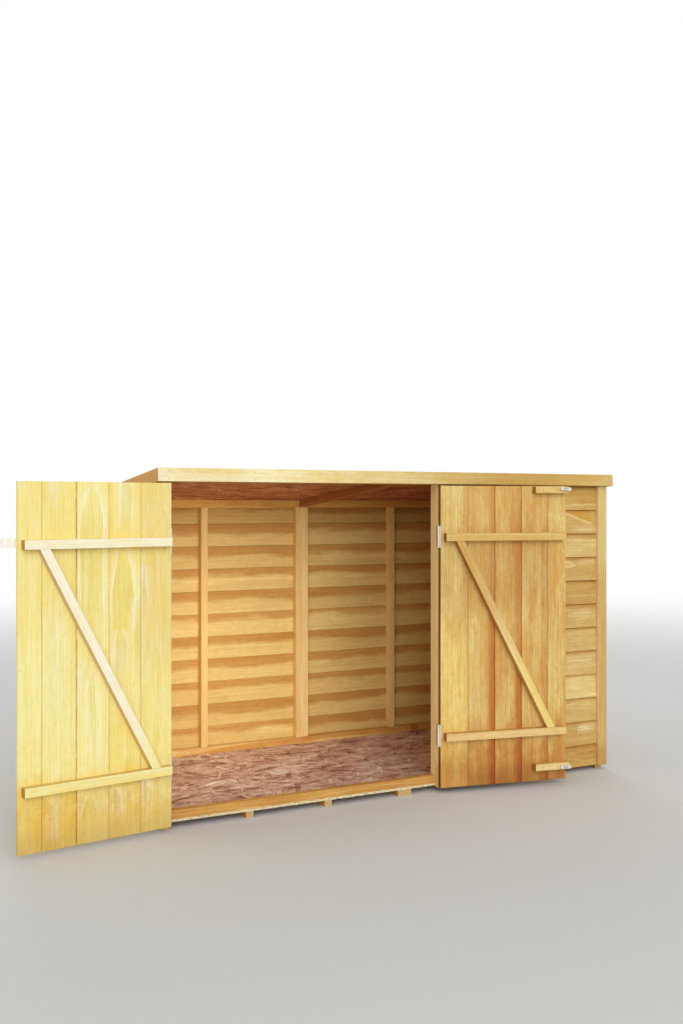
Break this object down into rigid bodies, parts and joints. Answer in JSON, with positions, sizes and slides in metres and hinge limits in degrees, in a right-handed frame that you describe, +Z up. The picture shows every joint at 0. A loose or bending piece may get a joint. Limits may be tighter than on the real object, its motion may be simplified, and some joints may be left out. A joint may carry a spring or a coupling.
{
  "type": "bike shelter",
  "caption": "Boarded timber bike shelter with a pent roof falling to the back, a lapped front wall beside the doorway and two ledged and braced doors.",
  "frame": {"origin": "on the ground under the middle of the floor, where the two inner bearers meet", "axes": "+X along the front to the right as seen from outside, +Y from the front to the back, +Z up"},
  "size_m": [2.7195, 1.2359, 1.3287],
  "materials": {
    "framing": "sawn softwood, dip treated",
    "strand_board": "oriented strand board",
    "felt": "mineral roofing felt",
    "trim": "planed softwood",
    "cladding": "sawn lapped boards, dip treated",
    "door_boards": "softwood boards with tight joints",
    "door_battens": "planed softwood",
    "zinc": "bright zinc plated",
    "catch_plastic": "pale moulded plastic"
  },
  "bodies": {
    "shelter": {"floor_bearers_left": "framing", "floor_bearers_right": "framing", "front_sill_rail": "framing", "front_top_rail": "framing", "front_posts": "framing", "left_wall_rails": "framing", "left_wall_studs": "framing", "right_wall_rails": "framing", "right_wall_studs": "framing", "back_wall_rails_left": "framing", "back_wall_studs_left": "framing", "back_wall_rails_right": "framing", "back_wall_studs_right": "framing", "centre_rafter": "framing", "floor_board_left": "strand_board", "floor_board_right": "strand_board", "roof_board_left": "strand_board", "roof_board_right": "strand_board", "roof_felt": "felt", "front_fascia": "trim", "back_fascia": "trim", "bargeboards": "trim", "front_cladding": "cladding", "left_cladding": "cladding", "right_cladding": "cladding", "back_cladding": "cladding", "left_door_strip": "trim", "right_door_strip": "trim", "front_corner_trim": "trim", "back_trims": "trim", "left_hinge_frame_leaves": "zinc", "right_hinge_frame_leaves": "zinc"},
    "left_door": {"left_door_boards": "door_boards", "left_door_ledges": "door_battens", "left_door_brace": "door_battens", "left_hinge_door_leaves": "zinc", "hasp_plate": "zinc"},
    "right_door": {"right_door_boards": "door_boards", "right_door_ledges": "door_battens", "right_door_brace": "door_battens", "right_door_stop_blocks": "door_battens", "right_door_catches": "catch_plastic", "right_hinge_door_leaves": "zinc", "hasp_staple": "zinc"},
    "hasp_strap": {"hasp_strap": "zinc"}
  },
  "joints": [
    {"name": "left_door_hinge", "type": "hinge", "parent": "shelter", "child": "left_door", "pos_m": [-1.021, -0.5255, 0.65], "axis": [0, 0, 1], "range_deg": [-6.7, 171.3]},
    {"name": "right_door_hinge", "type": "hinge", "parent": "shelter", "child": "right_door", "pos_m": [0.145, -0.5255, 0.65], "axis": [0, 0, -1], "range_deg": [-9, 169]},
    {"name": "hasp_strap_hinge", "type": "hinge", "parent": "left_door", "child": "hasp_strap", "pos_m": [-1.5757, -0.60937, 1.06623], "axis": [0, 0, -1], "range_deg": [0, 170]}
  ]
}
